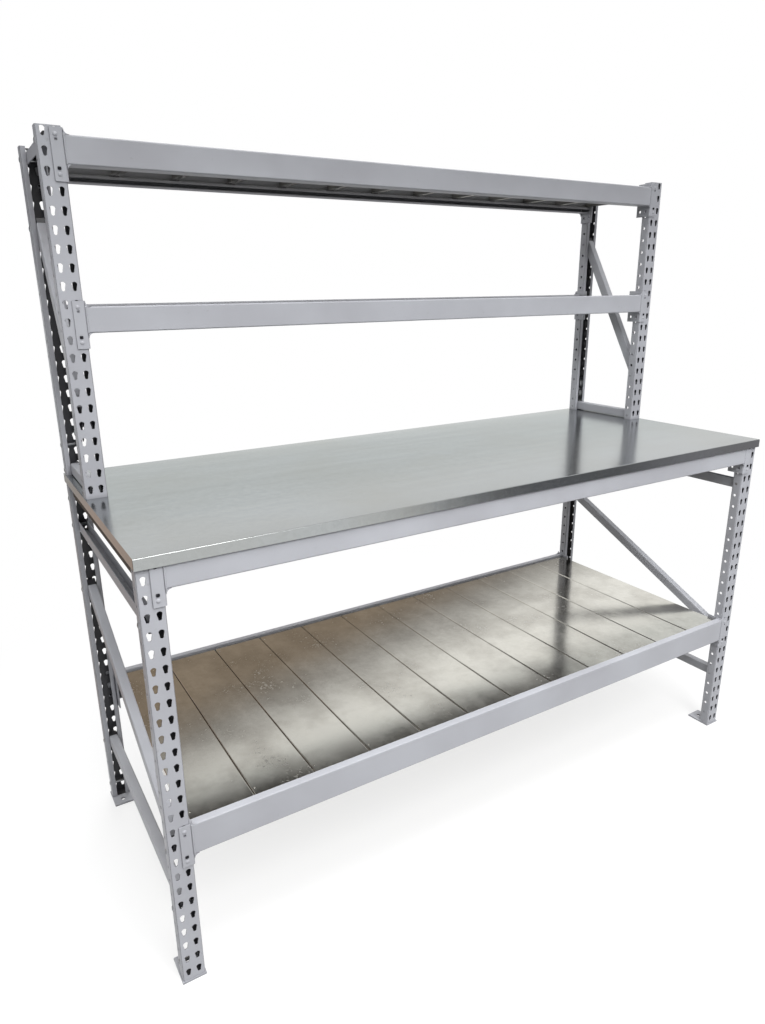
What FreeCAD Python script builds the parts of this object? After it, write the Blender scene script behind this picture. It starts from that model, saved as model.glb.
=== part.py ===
"""Steel workbench made of boltless rack parts, in millimetres.

Two deep lower end frames carry a plank shelf and a sheet-covered worktop.  Two narrow upper end
frames stand on the rear of the worktop and carry two more plank shelves.  X runs along the bench,
Y from front to rear and Z up.  The origin is on the floor, under the middle of the bench.
"""
import FreeCAD
import Part
import math
import os

# Bench
clear_width = 1828.8
frame_depth = 762.0
upper_depth = 304.8

# Posts
pitch = 38.1
lower_rows = 27
upper_rows = 21
post_width = 50.8
post_depth = 31.0
post_sheet = 2.0
post_bend = 2.0
post_lip = 13.0
post_foot_margin = 21.4
lower_head_margin = 10.0
upper_head_margin = 11.4
column_spacing = 23.6
tear_height = 19.5
tear_top_radius = 6.0
tear_low_radius = 3.75
side_hole_inset = 17.5
side_hole_drop_share = 0.46

# Bolts through the post sides
bolt_diameter = 8.0
bolt_hole_clearance = 0.3
bolt_head_diameter = 15.0
bolt_head_crown = 9.0
bolt_head_height = 2.6
bolt_end_recess = 0.5
nut_across = 13.0
nut_height = 6.0
nut_clearance = 0.1

# Foot plates
foot_thick = 5.0
foot_border = 2.0
foot_length = 76.0
foot_ear_height = 60.0
foot_bolt_row = 1
foot_anchor_diameter = 12.0
foot_anchor_inset = 53.0

# Inner straps: foot ears and post splices
strap_thick = 3.0
strap_clearance = 0.2
strap_front_inset = 6.0
strap_rear_inset = 4.5
splice_reach = 125.0
splice_lower_row = 25
splice_upper_row = 2

# Braces
brace_clearance = 0.4
brace_height = 28.0
brace_sheet = 2.0
brace_bend = 1.5
brace_bolt_drop = 10.0
brace_end_inset = 7.0
brace_end_reach = 19.0
brace_worktop_gap = 3.0
lower_top_brace_row = 23
lower_low_brace_row = 5
lower_diagonal_rows = (9, 18)
upper_top_brace_row = 20
upper_diagonal_rows = (4, 16)

# Step beams
beam_height = 57.2
shelf_beam_height = 76.2
beam_sheet = 2.0
beam_bend = 1.5
beam_top_flange = 21.0
beam_ledge = 19.0
beam_ledge_lip = 8.0
beam_step = 38.0
beam_middle_drop = 33.0
shelf_row = 10
worktop_row = 26
middle_row = 11
top_row = 20

# Beam-end connectors
connector_thick = 3.2
connector_bend = 1.5
connector_margin = 10.4
connector_depth = 54.0
connector_rise = 8.0
connector_foot = 19.0
connector_pitches = 2
plate_hole_diameter = 9.0
plate_hole_insets = (17.0, 41.0)
plate_hole_drop = 2.0

# Connector studs
stud_shank = 6.6
stud_fit = 0.1
stud_dome_radius = 5.0
stud_dome_height = 2.2
stud_button_radius = 5.4
stud_button_height = 2.5
stud_button_gap = 0.3
stud_seat = 0.4

# Safety locks
lock_width = 5.0
lock_height = 4.0
lock_clearance = 0.4
lock_rise = 2.4
lock_reach = 4.5
lock_head_width = 7.5
lock_head_height = 6.5
lock_head_thick = 1.8
lock_head_gap = 0.3
spare_window_drop = 14.9

# Worktop
pan_sheet = 1.5
pan_bend = 1.0
pan_lip = 24.0
pan_overhang = 8.0
pan_end_clearance = 0.5
pan_corner_gap = 3.0
core_clearance = 1.0
core_end_inset = 7.2
splice_slot_clearance = 0.6

# Shelf planks
plank_count = 12
plank_height = 32.0
plank_sheet = 1.2
plank_bend = 1.5
plank_lip = 12.0
plank_gap = 1.5

# Cuts reach this far past the faces they go through
overrun = 1.0

# Places worked out from the sizes above
post_x = clear_width / 2 + post_width / 2
post_inner_x = clear_width / 2
post_outer_x = clear_width / 2 + post_width
front_y = -frame_depth / 2
rear_y = frame_depth / 2
upper_front_y = rear_y - upper_depth
upper_middle_y = rear_y - upper_depth / 2
column_x = column_spacing / 2
tear_top_z = tear_height / 2 - tear_top_radius
tear_low_z = tear_low_radius - tear_height / 2
side_hole_drop = side_hole_drop_share * pitch
bolt_hole = bolt_diameter + 2 * bolt_hole_clearance
lower_base_z = foot_thick
lower_first_z = lower_base_z + post_foot_margin
lower_top_z = lower_first_z + (lower_rows - 1) * pitch + lower_head_margin
pan_under_z = lower_top_z
pan_top_z = pan_under_z + pan_sheet
upper_base_z = pan_top_z
upper_first_z = upper_base_z + post_foot_margin
upper_top_z = upper_first_z + (upper_rows - 1) * pitch + upper_head_margin
brace_width = post_width - 2 * post_lip - 2 * brace_clearance
upper_low_bolt_z = upper_base_z + brace_worktop_gap + brace_bolt_drop
connector_height = connector_rise + connector_pitches * pitch + connector_foot
connector_inner_x = post_inner_x - connector_thick
connector_leg = post_width / 2 - column_x + connector_margin
strap_outer = post_width / 2 - post_sheet - strap_clearance
ledge_inset = connector_thick - beam_top_flange - beam_bend


def point(x, y, z):
    """Point or direction."""
    return FreeCAD.Vector(x, y, z)


def block(x_range, y_range, z_range):
    """Box between two places on each axis."""
    corner = point(x_range[0], y_range[0], z_range[0])
    sizes = [span[1] - span[0] for span in (x_range, y_range, z_range)]
    return Part.makeBox(*sizes, corner)


def flip_x(shape):
    """The same piece at the other end of the bench."""
    return shape.mirror(point(0, 0, 0), point(1, 0, 0))


def flip_y(shape, middle_y=0):
    """The same piece on the other side of a middle plane, from front to rear."""
    return shape.mirror(point(0, middle_y, 0), point(0, 1, 0))


def four_corners(shape, middle_y=0):
    """A front left piece and its three mirror images, named by corner."""
    rear = flip_y(shape, middle_y)
    return {
        "front_left": shape,
        "front_right": flip_x(shape),
        "rear_left": rear,
        "rear_right": flip_x(rear),
    }


def folded(path, sheet, bend, place):
    """Face of a folded strip: its outline follows the path, and the sheet lies on the path's right.

    Each corner is an arc with the bend radius on its inner side.  place turns a flat point into a
    point in space.
    """
    flat = [FreeCAD.Vector(u, v, 0) for u, v in path]
    along = [(b - a).normalize() for a, b in zip(flat, flat[1:])]
    right = [FreeCAD.Vector(d.y, -d.x, 0) for d in along]
    outer = [(flat[0], None)]
    inner = [(flat[0] + right[0] * sheet, None)]
    for index in range(1, len(flat) - 1):
        before, after = along[index - 1], along[index]
        turns_right = before.cross(after).z < 0
        radius = bend + sheet if turns_right else bend
        inner_radius = bend if turns_right else bend + sheet
        reach = radius * math.tan(before.getAngle(after) / 2)
        start = flat[index] - before * reach
        end = flat[index] + after * reach
        centre = start + right[index - 1] * (radius if turns_right else -radius)
        outward = (flat[index] - centre).normalize()
        outer += [(start, None), (end, centre + outward * radius)]
        inner_start = start + right[index - 1] * sheet
        inner_end = end + right[index] * sheet
        inner += [(inner_start, None), (inner_end, centre + outward * inner_radius)]
    outer.append((flat[-1], None))
    inner.append((flat[-1] + right[-1] * sheet, None))
    edges = run_of_edges(outer, place) + run_of_edges(inner, place)
    edges.append(Part.LineSegment(place(outer[0][0]), place(inner[0][0])).toShape())
    edges.append(Part.LineSegment(place(outer[-1][0]), place(inner[-1][0])).toShape())
    return Part.Face(Part.Wire(Part.__sortEdges__(edges)))


def run_of_edges(stops, place):
    """Edges from stop to stop: an arc where the stop has a point on the way, otherwise a line."""
    edges = []
    for (start, _), (end, via) in zip(stops, stops[1:]):
        if via is None:
            edges.append(Part.LineSegment(place(start), place(end)).toShape())
        else:
            edges.append(Part.Arc(place(start), place(via), place(end)).toShape())
    return edges


def hole_z(first_z, row):
    """Height of a row of teardrop slots, counted from the foot of the post."""
    return first_z + row * pitch


def side_z(first_z, row):
    """Height of the side hole under a row of slots."""
    return hole_z(first_z, row) - side_hole_drop


def teardrop(x, face_y, z):
    """Cutter for one teardrop slot through a post's face: wide at the top, narrow at the bottom."""
    lean = (tear_top_radius - tear_low_radius) / (tear_top_z - tear_low_z)
    side = point(math.sqrt(1 - lean ** 2), 0, lean)
    top = point(x, face_y - overrun, z + tear_top_z)
    low = point(x, face_y - overrun, z + tear_low_z)
    left = point(-side.x, 0, side.z)
    top_right = top + side * tear_top_radius
    top_left = top + left * tear_top_radius
    low_right = low + side * tear_low_radius
    low_left = low + left * tear_low_radius
    edges = [
        Part.Arc(top_right, top + point(0, 0, tear_top_radius), top_left),
        Part.LineSegment(top_left, low_left),
        Part.Arc(low_left, low - point(0, 0, tear_low_radius), low_right),
        Part.LineSegment(low_right, top_right),
    ]
    wire = Part.Wire([edge.toShape() for edge in edges])
    return Part.Face(wire).extrude(point(0, post_sheet + 2 * overrun, 0))


def cross_hole(y, z, diameter, middle_x=-post_x, width=post_width):
    """Cutter for a round hole that goes across a post along X."""
    start = point(middle_x - width / 2 - overrun, y, z)
    return Part.makeCylinder(diameter / 2, width + 2 * overrun, start, point(1, 0, 0))


def post(face_y, base_z, first_z, top_z, rows, extra_hole_zs=()):
    """Left post with its face at face_y: a lipped channel, open to the rear, with slots and holes."""
    half = post_width / 2
    path = [
        (half - post_lip, post_depth),
        (half, post_depth),
        (half, 0),
        (-half, 0),
        (-half, post_depth),
        (post_lip - half, post_depth),
    ]
    section = folded(path, post_sheet, post_bend, lambda p: point(p.x - post_x, p.y + face_y, base_z))
    body = section.extrude(point(0, 0, top_z - base_z))
    cutters = []
    for row in range(rows):
        for side in (-1, 1):
            cutters.append(teardrop(side * column_x - post_x, face_y, hole_z(first_z, row)))
    hole_zs = [side_z(first_z, row) for row in range(1, rows)]
    for z in hole_zs + list(extra_hole_zs):
        cutters.append(cross_hole(face_y + side_hole_inset, z, bolt_hole))
    return body.cut(cutters)


def strap_pair(face_y, z_range, bolt_zs):
    """Two flat straps inside a left post, one against each side, with their bolt holes."""
    straps = []
    y_range = (face_y + strap_front_inset, face_y + post_depth - strap_rear_inset)
    for side in (-1, 1):
        edges = sorted((side * strap_outer - post_x, side * (strap_outer - strap_thick) - post_x))
        strap = block(edges, y_range, z_range)
        straps.append(strap.cut([cross_hole(face_y + side_hole_inset, z, bolt_hole) for z in bolt_zs]))
    return straps


def foot_plate():
    """Front left foot: a base plate that reaches back under the frame, with two ears inside the post."""
    half = post_width / 2 + foot_border
    y_range = (front_y - foot_border, front_y - foot_border + foot_length)
    plate = block((-post_x - half, half - post_x), y_range, (0, foot_thick))
    anchor = point(-post_x, front_y + foot_anchor_inset, -overrun)
    plate = plate.cut(Part.makeCylinder(foot_anchor_diameter / 2, foot_thick + 2 * overrun, anchor))
    z_range = (foot_thick, foot_thick + foot_ear_height)
    ears = strap_pair(front_y, z_range, [side_z(lower_first_z, foot_bolt_row)])
    return plate.fuse(ears).removeSplitter()


def bolt_and_nut(y, z, packing=0):
    """Left bolt with its low head on the bench's end, and its nut inside the post's inner side."""
    along = point(1, 0, 0)
    head_start = point(-post_outer_x - bolt_head_height, y, z)
    head = Part.makeCone(bolt_head_crown / 2, bolt_head_diameter / 2, bolt_head_height, head_start, along)
    length = post_width - bolt_end_recess
    shank = Part.makeCylinder(bolt_diameter / 2, length, point(-post_outer_x, y, z), along)
    nut_x = -post_inner_x - post_sheet - packing - nut_height
    bore = Part.makeCylinder(bolt_diameter / 2 + nut_clearance, nut_height, point(nut_x, y, z), along)
    return [head.fuse(shank), hexagon(nut_x, y, z, nut_height).cut(bore)]


def hexagon(x, y, z, height):
    """Hexagonal prism along X, standing on one corner."""
    radius = nut_across / math.sqrt(3)
    turns = [math.pi / 3 * corner for corner in range(7)]
    corners = [point(x, y + radius * math.sin(turn), z + radius * math.cos(turn)) for turn in turns]
    return Part.Face(Part.makePolygon(corners)).extrude(point(height, 0, 0))


def channel_section(origin, up):
    """Face of the brace channel, square to its length, with the bolt line through the origin."""
    half = brace_width / 2
    low = brace_bolt_drop - brace_height
    path = [(half, brace_bolt_drop), (half, low), (-half, low), (-half, brace_bolt_drop)]
    return folded(path, brace_sheet, brace_bend, lambda p: origin + point(p.x, 0, 0) + up * p.y)


def brace(frame_front_y, front_z, rear_z, opens_up=True):
    """Left brace of an end frame, cut square past its bolts in the front post and the rear post."""
    near = point(-post_x, frame_front_y + side_hole_inset, front_z)
    far = point(-post_x, rear_y - side_hole_inset, rear_z)
    along = (far - near).normalize()
    up = point(0, -along.z, along.y) * (1 if opens_up else -1)
    start = near - along * brace_end_reach
    length = (far - near).Length + 2 * brace_end_reach
    body = channel_section(start, up).extrude(along * length)
    y_range = (frame_front_y + brace_end_inset, rear_y - brace_end_inset)
    half = brace_width / 2 + overrun
    z_range = (min(front_z, rear_z) - frame_depth, max(front_z, rear_z) + frame_depth)
    body = body.common(block((-post_x - half, half - post_x), y_range, z_range))
    holes = [cross_hole(end.y, end.z, bolt_hole) for end in (near, far)]
    return body.cut(holes)


def step_beam(face_y, middle_z, height):
    """Front beam: an open folded channel, flush with the connectors, its ledge towards the middle."""
    inner = beam_top_flange + beam_ledge
    low = -height / 2
    high = height / 2
    path = [
        (inner, low),
        (0, low),
        (0, high),
        (beam_top_flange, high),
        (beam_top_flange, high - beam_step),
        (inner, high - beam_step),
        (inner, high - beam_step - beam_ledge_lip),
    ]
    beam_y = face_y - connector_thick
    start = point(-connector_inner_x, beam_y, middle_z)
    section = folded(path, beam_sheet, beam_bend, lambda p: start + point(0, p.x, p.y))
    return section.extrude(point(2 * connector_inner_x, 0, 0))


def connector(face_y, first_z):
    """Front left connector: a leg on the post's face and a plate on the post's inner side."""
    outer_y = face_y - connector_thick
    plate_x = -connector_inner_x
    path = [
        (plate_x, outer_y + connector_depth),
        (plate_x, outer_y),
        (-post_inner_x - connector_leg, outer_y),
    ]
    base_z = first_z + connector_rise - connector_height
    section = folded(path, connector_thick, connector_bend, lambda p: point(p.x, p.y, base_z))
    body = section.extrude(point(0, 0, connector_height))
    cutters = [window(outer_y, z) for z in (lock_z(first_z), first_z - spare_window_drop)]
    shank = stud_shank / 2 + stud_fit
    length = connector_thick + 2 * overrun
    for z in stud_zs(first_z):
        start = point(column_x - post_x, outer_y - overrun, z)
        cutters.append(Part.makeCylinder(shank, length, start, point(0, 1, 0)))
    hole_row_z = third_hole_z(first_z) - plate_hole_drop
    plate_middle_x = -(post_inner_x + connector_inner_x) / 2
    for inset in plate_hole_insets:
        hole_y = outer_y + inset
        hole = cross_hole(hole_y, hole_row_z, plate_hole_diameter, plate_middle_x, connector_thick)
        cutters.append(hole)
    return body.cut(cutters)


def third_hole_z(first_z):
    """Height of the last slot that a connector covers."""
    return first_z - connector_pitches * pitch


def stud_zs(first_z):
    """Heights of a connector's two studs, which sit in the narrow ends of the slots."""
    return [z + tear_low_z + stud_seat for z in (first_z, third_hole_z(first_z))]


def lock_z(first_z):
    """Height of a connector's lock, which fills the wide end of the last slot."""
    return third_hole_z(first_z) + tear_top_z + lock_rise


def window(outer_y, z):
    """Cutter for the window in a connector that a lock slides in."""
    half_width = lock_width / 2 + lock_clearance
    half_height = lock_height / 2 + lock_clearance
    middle_x = column_x - post_x
    x_range = (middle_x - half_width, middle_x + half_width)
    y_range = (outer_y - overrun, outer_y + connector_thick + overrun)
    return block(x_range, y_range, (z - half_height, z + half_height))


def stud(face_y, z):
    """Front left stud: a dome on the connector, a shank through the slot and a button behind it."""
    outer_y = face_y - connector_thick
    button_y = face_y + post_sheet + stud_button_gap
    shank = stud_shank / 2
    ball = (stud_dome_radius ** 2 + stud_dome_height ** 2) / (2 * stud_dome_height)
    half_turn = math.asin(stud_dome_radius / ball) / 2
    tip = point(0, outer_y - stud_dome_height, 0)
    dome_way = tip + point(math.sin(half_turn), 1 - math.cos(half_turn), 0) * ball
    rim = point(stud_dome_radius, outer_y, 0)
    corners = [
        rim,
        point(shank, outer_y, 0),
        point(shank, button_y, 0),
        point(stud_button_radius, button_y, 0),
        point(stud_button_radius, button_y + stud_button_height, 0),
        point(0, button_y + stud_button_height, 0),
        tip,
    ]
    edges = [Part.Arc(tip, dome_way, rim).toShape()]
    edges += [Part.LineSegment(a, b).toShape() for a, b in zip(corners, corners[1:])]
    turned = Part.Face(Part.Wire(edges)).revolve(point(0, 0, 0), point(0, 1, 0), 360)
    turned.translate(point(column_x - post_x, 0, z))
    return turned


def lock(face_y, first_z):
    """Front left safety lock: a tongue through the connector's window into the slot, with a finger head."""
    middle_x = column_x - post_x
    z = lock_z(first_z)
    head_y = face_y - connector_thick - lock_head_gap
    x_range = (middle_x - lock_width / 2, middle_x + lock_width / 2)
    tongue = block(x_range, (head_y, face_y + lock_reach), (z - lock_height / 2, z + lock_height / 2))
    x_range = (middle_x - lock_head_width / 2, middle_x + lock_head_width / 2)
    z_range = (z - lock_head_height / 2, z + lock_head_height / 2)
    head = block(x_range, (head_y - lock_head_thick, head_y), z_range)
    return tongue.fuse(head).removeSplitter()


def worktop_pan():
    """Worktop sheet: a lip folded down on each side, open corners, and slots for the rear splices."""
    half_depth = frame_depth / 2 + pan_overhang
    half_length = post_outer_x + pan_end_clearance + pan_sheet
    path = [
        (-half_depth, pan_top_z - pan_lip),
        (-half_depth, pan_top_z),
        (half_depth, pan_top_z),
        (half_depth, pan_top_z - pan_lip),
    ]
    section = folded(path, pan_sheet, pan_bend, lambda p: point(-half_length, p.x, p.y))
    sheet = section.extrude(point(2 * half_length, 0, 0))
    lip_y = half_depth - pan_sheet - pan_corner_gap
    lip = block((-half_length, pan_sheet - half_length), (-lip_y, lip_y), (pan_top_z - pan_lip, pan_top_z))
    slot_half = strap_outer + splice_slot_clearance
    slot_y = (
        rear_y - post_depth + strap_rear_inset - splice_slot_clearance,
        rear_y - strap_front_inset + splice_slot_clearance,
    )
    slot_x = (-post_x - slot_half, slot_half - post_x)
    slot = block(slot_x, slot_y, (pan_under_z - overrun, pan_top_z + overrun))
    return sheet.fuse([lip, flip_x(lip)]).cut([slot, flip_x(slot)]).removeSplitter()


def worktop_core(ledge_z):
    """Board under the pan: it lies on the beams' ledges and is notched round the posts and connectors."""
    half_length = post_outer_x - core_end_inset
    half_depth = frame_depth / 2 + ledge_inset - core_clearance
    board = block((-half_length, half_length), (-half_depth, half_depth), (ledge_z, pan_under_z))
    notch_x = (-half_length - overrun, core_clearance - connector_inner_x)
    notch_y = (-half_depth - overrun, front_y - connector_thick + connector_depth + core_clearance)
    notch = block(notch_x, notch_y, (ledge_z - overrun, pan_under_z + overrun))
    return board.cut(list(four_corners(notch).values()))


def shelf_planks(ledge_z, face_y, middle_y):
    """Row of planks that fills a level between the connectors, lying on the ledges of its two beams."""
    room = 2 * (connector_inner_x - plank_gap)
    step = room / plank_count
    half = (step - plank_gap) / 2
    half_depth = middle_y - face_y + ledge_inset - plank_gap
    path = [
        (plank_lip - half, 0),
        (-half, 0),
        (-half, plank_height),
        (half, plank_height),
        (half, 0),
        (half - plank_lip, 0),
    ]
    planks = []
    for number in range(plank_count):
        middle_x = (number + 0.5) * step - room / 2
        start = point(middle_x, middle_y - half_depth, ledge_z)
        section = folded(path, plank_sheet, plank_bend, lambda p: start + point(p.x, 0, p.y))
        planks.append(section.extrude(point(0, 2 * half_depth, 0)))
    return planks


def save(node, shapes):
    """Write one node's solids to its own file."""
    shape = shapes if isinstance(shapes, Part.Shape) else Part.makeCompound(shapes)
    shape.exportStep(f"parts/{node}.step")


def save_posts():
    """Posts, feet and the splices between the rear posts."""
    lower = post(front_y, lower_base_z, lower_first_z, lower_top_z, lower_rows)
    for corner, shape in four_corners(lower).items():
        save(f"lower_post_{corner}", shape)
    upper = post(upper_front_y, upper_base_z, upper_first_z, upper_top_z, upper_rows, [upper_low_bolt_z])
    for corner, shape in four_corners(upper, upper_middle_y).items():
        save(f"upper_post_{corner}", shape)
    for corner, shape in four_corners(foot_plate()).items():
        save(f"foot_plate_{corner}", shape)
    z_range = (pan_under_z - splice_reach, pan_under_z + splice_reach)
    bolt_zs = splice_bolt_zs() + [upper_low_bolt_z]
    straps = [flip_y(strap) for strap in strap_pair(front_y, z_range, bolt_zs)]
    save("post_splices", straps + [flip_x(strap) for strap in straps])


def splice_bolt_zs():
    """Heights of the bolts through a splice: one in the lower post and one in the upper post."""
    return [side_z(lower_first_z, splice_lower_row), side_z(upper_first_z, splice_upper_row)]


def brace_plan():
    """Braces of one end: name, frame's front face, bolt heights in front and at the rear, open side."""
    top_z = side_z(lower_first_z, lower_top_brace_row)
    low_z = side_z(lower_first_z, lower_low_brace_row)
    diagonal = [side_z(lower_first_z, row) for row in lower_diagonal_rows]
    upper_z = side_z(upper_first_z, upper_top_brace_row)
    upper_diagonal = [side_z(upper_first_z, row) for row in upper_diagonal_rows]
    return [
        ("lower_top_brace", front_y, top_z, top_z, True),
        ("lower_low_brace", front_y, low_z, low_z, False),
        ("lower_diagonal", front_y, *diagonal, False),
        ("upper_top_brace", upper_front_y, upper_z, upper_z, False),
        ("upper_low_brace", upper_front_y, upper_low_bolt_z, upper_low_bolt_z, False),
        ("upper_diagonal", upper_front_y, *upper_diagonal, False),
    ]


def save_braces_and_bolts():
    """Braces of both ends, and every bolt and nut through the posts' sides."""
    bolts = []
    rear_bolt_y = rear_y - side_hole_inset
    for name, face_y, front_z, rear_z, opens_up in brace_plan():
        shape = brace(face_y, front_z, rear_z, opens_up)
        save(f"{name}_left", shape)
        save(f"{name}_right", flip_x(shape))
        packing = strap_thick + strap_clearance if name == "upper_low_brace" else 0
        bolts += bolt_and_nut(face_y + side_hole_inset, front_z)
        bolts += bolt_and_nut(rear_bolt_y, rear_z, packing)
    packing = strap_thick + strap_clearance
    for y in (front_y + side_hole_inset, rear_bolt_y):
        bolts += bolt_and_nut(y, side_z(lower_first_z, foot_bolt_row), packing)
    for z in splice_bolt_zs():
        bolts += bolt_and_nut(rear_bolt_y, z, packing)
    save("frame_bolts", bolts + [flip_x(bolt) for bolt in bolts])


def level_plan():
    """Beam levels: name, front face of the posts, middle plane, first slot covered and beam height."""
    return [
        ("shelf", front_y, 0, hole_z(lower_first_z, shelf_row), shelf_beam_height),
        ("worktop", front_y, 0, hole_z(lower_first_z, worktop_row), beam_height),
        ("middle", upper_front_y, upper_middle_y, hole_z(upper_first_z, middle_row), beam_height),
        ("top", upper_front_y, upper_middle_y, hole_z(upper_first_z, top_row), beam_height),
    ]


def save_levels():
    """Beams, connectors, studs and locks of each level, and what lies on the ledges."""
    studs = []
    for level, face_y, middle_y, first_z, height in level_plan():
        beam = step_beam(face_y, first_z - beam_middle_drop, height)
        save(f"{level}_beam_front", beam)
        save(f"{level}_beam_rear", flip_y(beam, middle_y))
        ledge_z = first_z - beam_middle_drop + height / 2 - beam_step
        save(f"{level}_connectors", list(four_corners(connector(face_y, first_z), middle_y).values()))
        for z in stud_zs(first_z):
            studs += four_corners(stud(face_y, z), middle_y).values()
        for corner, shape in four_corners(lock(face_y, first_z), middle_y).items():
            save(f"{level}_lock_{corner}", shape)
        if level == "worktop":
            save("worktop_core", worktop_core(ledge_z))
        else:
            save(f"{level}_planks", shelf_planks(ledge_z, face_y, middle_y))
    save("worktop_pan", worktop_pan())
    save("connector_studs", studs)


os.makedirs("parts", exist_ok=True)
save_posts()
save_braces_and_bolts()
save_levels()
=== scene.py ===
"""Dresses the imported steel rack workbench: its finishes, welds, bolts and locks, and the studio around it."""

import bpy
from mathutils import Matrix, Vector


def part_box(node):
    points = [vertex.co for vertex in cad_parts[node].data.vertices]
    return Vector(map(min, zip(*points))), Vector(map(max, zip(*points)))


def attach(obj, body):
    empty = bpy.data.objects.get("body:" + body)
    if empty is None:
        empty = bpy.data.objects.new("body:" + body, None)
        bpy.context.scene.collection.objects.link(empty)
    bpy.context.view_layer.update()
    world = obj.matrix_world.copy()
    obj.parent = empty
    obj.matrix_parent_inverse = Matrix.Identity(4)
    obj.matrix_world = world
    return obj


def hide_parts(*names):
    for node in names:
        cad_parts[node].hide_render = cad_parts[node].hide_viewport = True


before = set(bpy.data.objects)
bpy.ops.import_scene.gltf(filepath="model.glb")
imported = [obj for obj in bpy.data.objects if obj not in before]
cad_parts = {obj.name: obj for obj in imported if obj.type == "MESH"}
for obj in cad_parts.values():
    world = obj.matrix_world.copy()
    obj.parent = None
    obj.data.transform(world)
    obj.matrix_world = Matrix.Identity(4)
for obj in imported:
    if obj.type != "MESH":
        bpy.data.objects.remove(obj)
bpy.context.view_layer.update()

import logging
import math
from dataclasses import dataclass
from enum import Enum

import bmesh
import bpy
import numpy as np
from mathutils import Matrix, Vector

Span = tuple[float, float]
Point = tuple[float, float, float]
Colour = tuple[float, float, float, float]
Material = bpy.types.Material
Tree = bpy.types.NodeTree
Socket = bpy.types.NodeSocket

MM = 0.001
HEX_TURN = math.pi / 3
FULL_SPAN = (0.0, 1.0)
WHITE = "#FFFFFF"
BLACK = "#000000"
SHARP_DEG = 40.0
# A Mix node has one pair of inputs and one output for each kind of data it can mix.
MIX_SHARE = 0
MIX_NUMBERS, NUMBER_OUT = (2, 3), 0
MIX_VECTORS, VECTOR_OUT = (4, 5), 1
MIX_COLOURS, COLOUR_OUT = (6, 7), 2
log = logging.getLogger("workbench")


class End(Enum):
    """Which end of the bench a piece is at; the value is its sign along X."""
    LEFT = -1
    RIGHT = 1


class Face(Enum):
    """Which long side of the bench a piece is on; the value is the way out of the bench along Y."""
    FRONT = -1
    REAR = 1


class CardUse(Enum):
    """What a studio card is there for: to show in gloss or to stop lamps."""
    GLOSS = "gloss"
    LAMPS = "lamps"


class Level(Enum):
    """The four pairs of beams, from the floor up."""
    SHELF = "shelf"
    WORKTOP = "worktop"
    MIDDLE = "middle"
    TOP = "top"


def linear(code: str) -> Colour:
    """Turn an sRGB hex colour into linear red, green, blue and alpha.

    The sRGB curve is a straight line for the darkest values and a power of 2.4 above them.

    Args:
        code: six hex digits after a hash.

    Returns:
        Linear components from 0 to 1, with alpha 1.
    """
    parts = [int(code[place:place + 2], 16) / 255 for place in (1, 3, 5)]
    red, green, blue = (p / 12.92 if p <= 0.04045 else ((p + 0.055) / 1.055) ** 2.4 for p in parts)
    return red, green, blue, 1.0


def add_node(tree: Tree, kind: str, inputs: dict | None = None, **settings: object) -> bpy.types.Node:
    """Add one node with its settings, input values and incoming links.

    Args:
        tree: node tree that takes the node.
        kind: Blender's name of the node type.
        inputs: input name or index to a socket, which is linked, or to a plain value.
        settings: attributes to set on the node.

    Returns:
        The new node.
    """
    node = tree.nodes.new(kind)
    for name, value in settings.items():
        setattr(node, name, value)
    for key, value in (inputs or {}).items():
        if isinstance(value, Socket):
            tree.links.new(value, node.inputs[key])
        else:
            node.inputs[key].default_value = value
    return node


def ramp(value: Socket, start: Span, end: Span = FULL_SPAN) -> dict[str, object]:
    """Inputs of a Map Range node that carries one span of a value to another."""
    return {"Value": value, "From Min": start[0], "From Max": start[1], "To Min": end[0], "To Max": end[1]}


def blend(share: Socket | float, below: Socket | str, above: Socket | str | float,
          pair: tuple[int, int] = MIX_COLOURS) -> dict[int, object]:
    """Inputs of a Mix node.

    Args:
        share: how much of the second input shows.
        below: what shows at share 0; a hex value stands for its colour.
        above: what shows at share 1, likewise.
        pair: the node's two inputs for the kind of data that is mixed.

    Returns:
        Input index to socket or value.
    """
    below, above = (linear(value) if isinstance(value, str) else value for value in (below, above))
    return {MIX_SHARE: share, pair[0]: below, pair[1]: above}


def new_material(name: str) -> tuple[Material, Tree]:
    """Make an empty node material.

    Args:
        name: the material's name.

    Returns:
        The material and its node tree.
    """
    material = bpy.data.materials.new(name)
    material.use_nodes = True
    material.node_tree.nodes.clear()
    return material, material.node_tree


@dataclass(frozen=True)
class Noise:
    """One noise pattern: the real size of its blotches, its detail, and the band of values to spread."""
    size_mm: float
    detail: float
    rough: float = 0.5
    band: Span = FULL_SPAN

    def inputs(self, place: Socket) -> dict[str, object]:
        """Inputs of the noise node that draws the pattern at a place."""
        return {"Vector": place, "Scale": 1 / (self.size_mm * MM), "Detail": self.detail,
                "Roughness": self.rough}


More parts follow.
